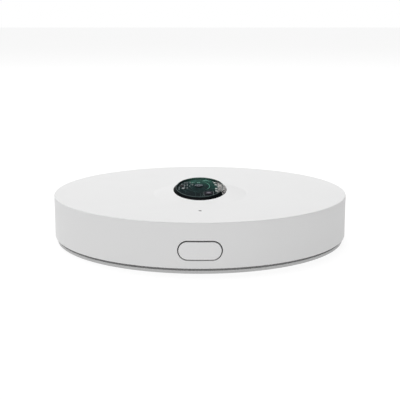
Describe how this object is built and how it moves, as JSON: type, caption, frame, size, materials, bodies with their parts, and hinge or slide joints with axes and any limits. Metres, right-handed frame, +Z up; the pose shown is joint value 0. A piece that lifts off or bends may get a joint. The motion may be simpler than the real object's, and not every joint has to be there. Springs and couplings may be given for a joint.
{
  "type": "air quality monitor",
  "caption": "Flat round air quality monitor with a domed oval sensor window on a low rise, a sprung side button, a shadow-gap air inlet and rubber feet.",
  "frame": {"origin": "centre of the surface that the feet stand on", "axes": "+Z up; the button faces -Y and the power inlet faces +Y"},
  "size_m": [0.112, 0.112, 0.022],
  "materials": {
    "casing_white": "fine matt moulded",
    "base_white": "fine matt moulded",
    "button_white": "fine matt moulded",
    "bezel_black": "gloss moulded",
    "crystal_clear": "polished, lightly coated",
    "sensor_board_green": "solder mask over copper",
    "main_board_green": "solder mask over copper",
    "chip_black": "moulded epoxy",
    "sensor_metal": "satin nickel plated",
    "copper_trace": "coated copper",
    "shield_tin": "tinned and mottled",
    "can_steel": "pressed, satin",
    "light_lens": "clear white resin",
    "ceramic_white": "glazed ceramic",
    "ceramic_tan": "ceramic with tinned ends",
    "foot_rubber": "matt silicone",
    "gasket_foam": "closed-cell foam",
    "filter_cloth": "non-woven mesh",
    "label_film": "blank satin film",
    "screw_steel": "zinc plated",
    "ribbon_film": "amber film",
    "connector_plastic": "moulded nylon",
    "inlet_steel": "drawn, bright",
    "inner_plastic": "moulded nylon",
    "membrane_white": "porous film",
    "capacitor_can": "drawn can"
  },
  "bodies": {
    "housing": {"top_cover": "casing_white", "base_plate": "base_white", "foot_pads": "foot_rubber", "vent_filter": "filter_cloth", "blank_label": "label_film", "case_screws": "screw_steel", "window_bezel": "bezel_black", "window_crystal": "crystal_clear", "window_gasket": "gasket_foam", "window_retainer": "inner_plastic", "sensor_board": "sensor_board_green", "guard_ring": "copper_trace", "gas_sensor": "sensor_metal", "humidity_sensor": "can_steel", "light_sensor": "chip_black", "signal_chip": "chip_black", "status_leds": "light_lens", "chip_resistors": "ceramic_tan", "shield_crescent": "shield_tin", "pressure_sensor": "ceramic_white", "main_board": "main_board_green", "board_screws": "screw_steel", "microcontroller": "chip_black", "memory_chip": "chip_black", "radio_module": "main_board_green", "radio_shield": "can_steel", "co2_sensor": "can_steel", "co2_membrane": "membrane_white", "power_inductor": "chip_black", "power_chip": "chip_black", "capacitors": "capacitor_can", "sounder": "inner_plastic", "sounder_seal": "gasket_foam", "board_connectors": "connector_plastic", "ribbon_cable": "ribbon_film", "inlet_shell": "inlet_steel", "inlet_tongue": "inner_plastic", "button_bracket": "inner_plastic", "tact_switch": "can_steel"},
    "button": {"front_button": "button_white"},
    "plunger": {"switch_plunger": "inner_plastic"}
  },
  "joints": [
    {"name": "button_press", "type": "slide", "parent": "housing", "child": "button", "axis": [0, 1, 0], "range_m": [0, 0.0005], "stiffness_N_per_m": 1200, "springref_m": -0.0004},
    {"name": "plunger_press", "type": "slide", "parent": "housing", "child": "plunger", "axis": [0, 1, 0], "range_m": [0, 0.0005]}
  ],
  "couplings": [
    {"joint": "plunger_press", "follows": "button_press", "ratio": 1}
  ]
}
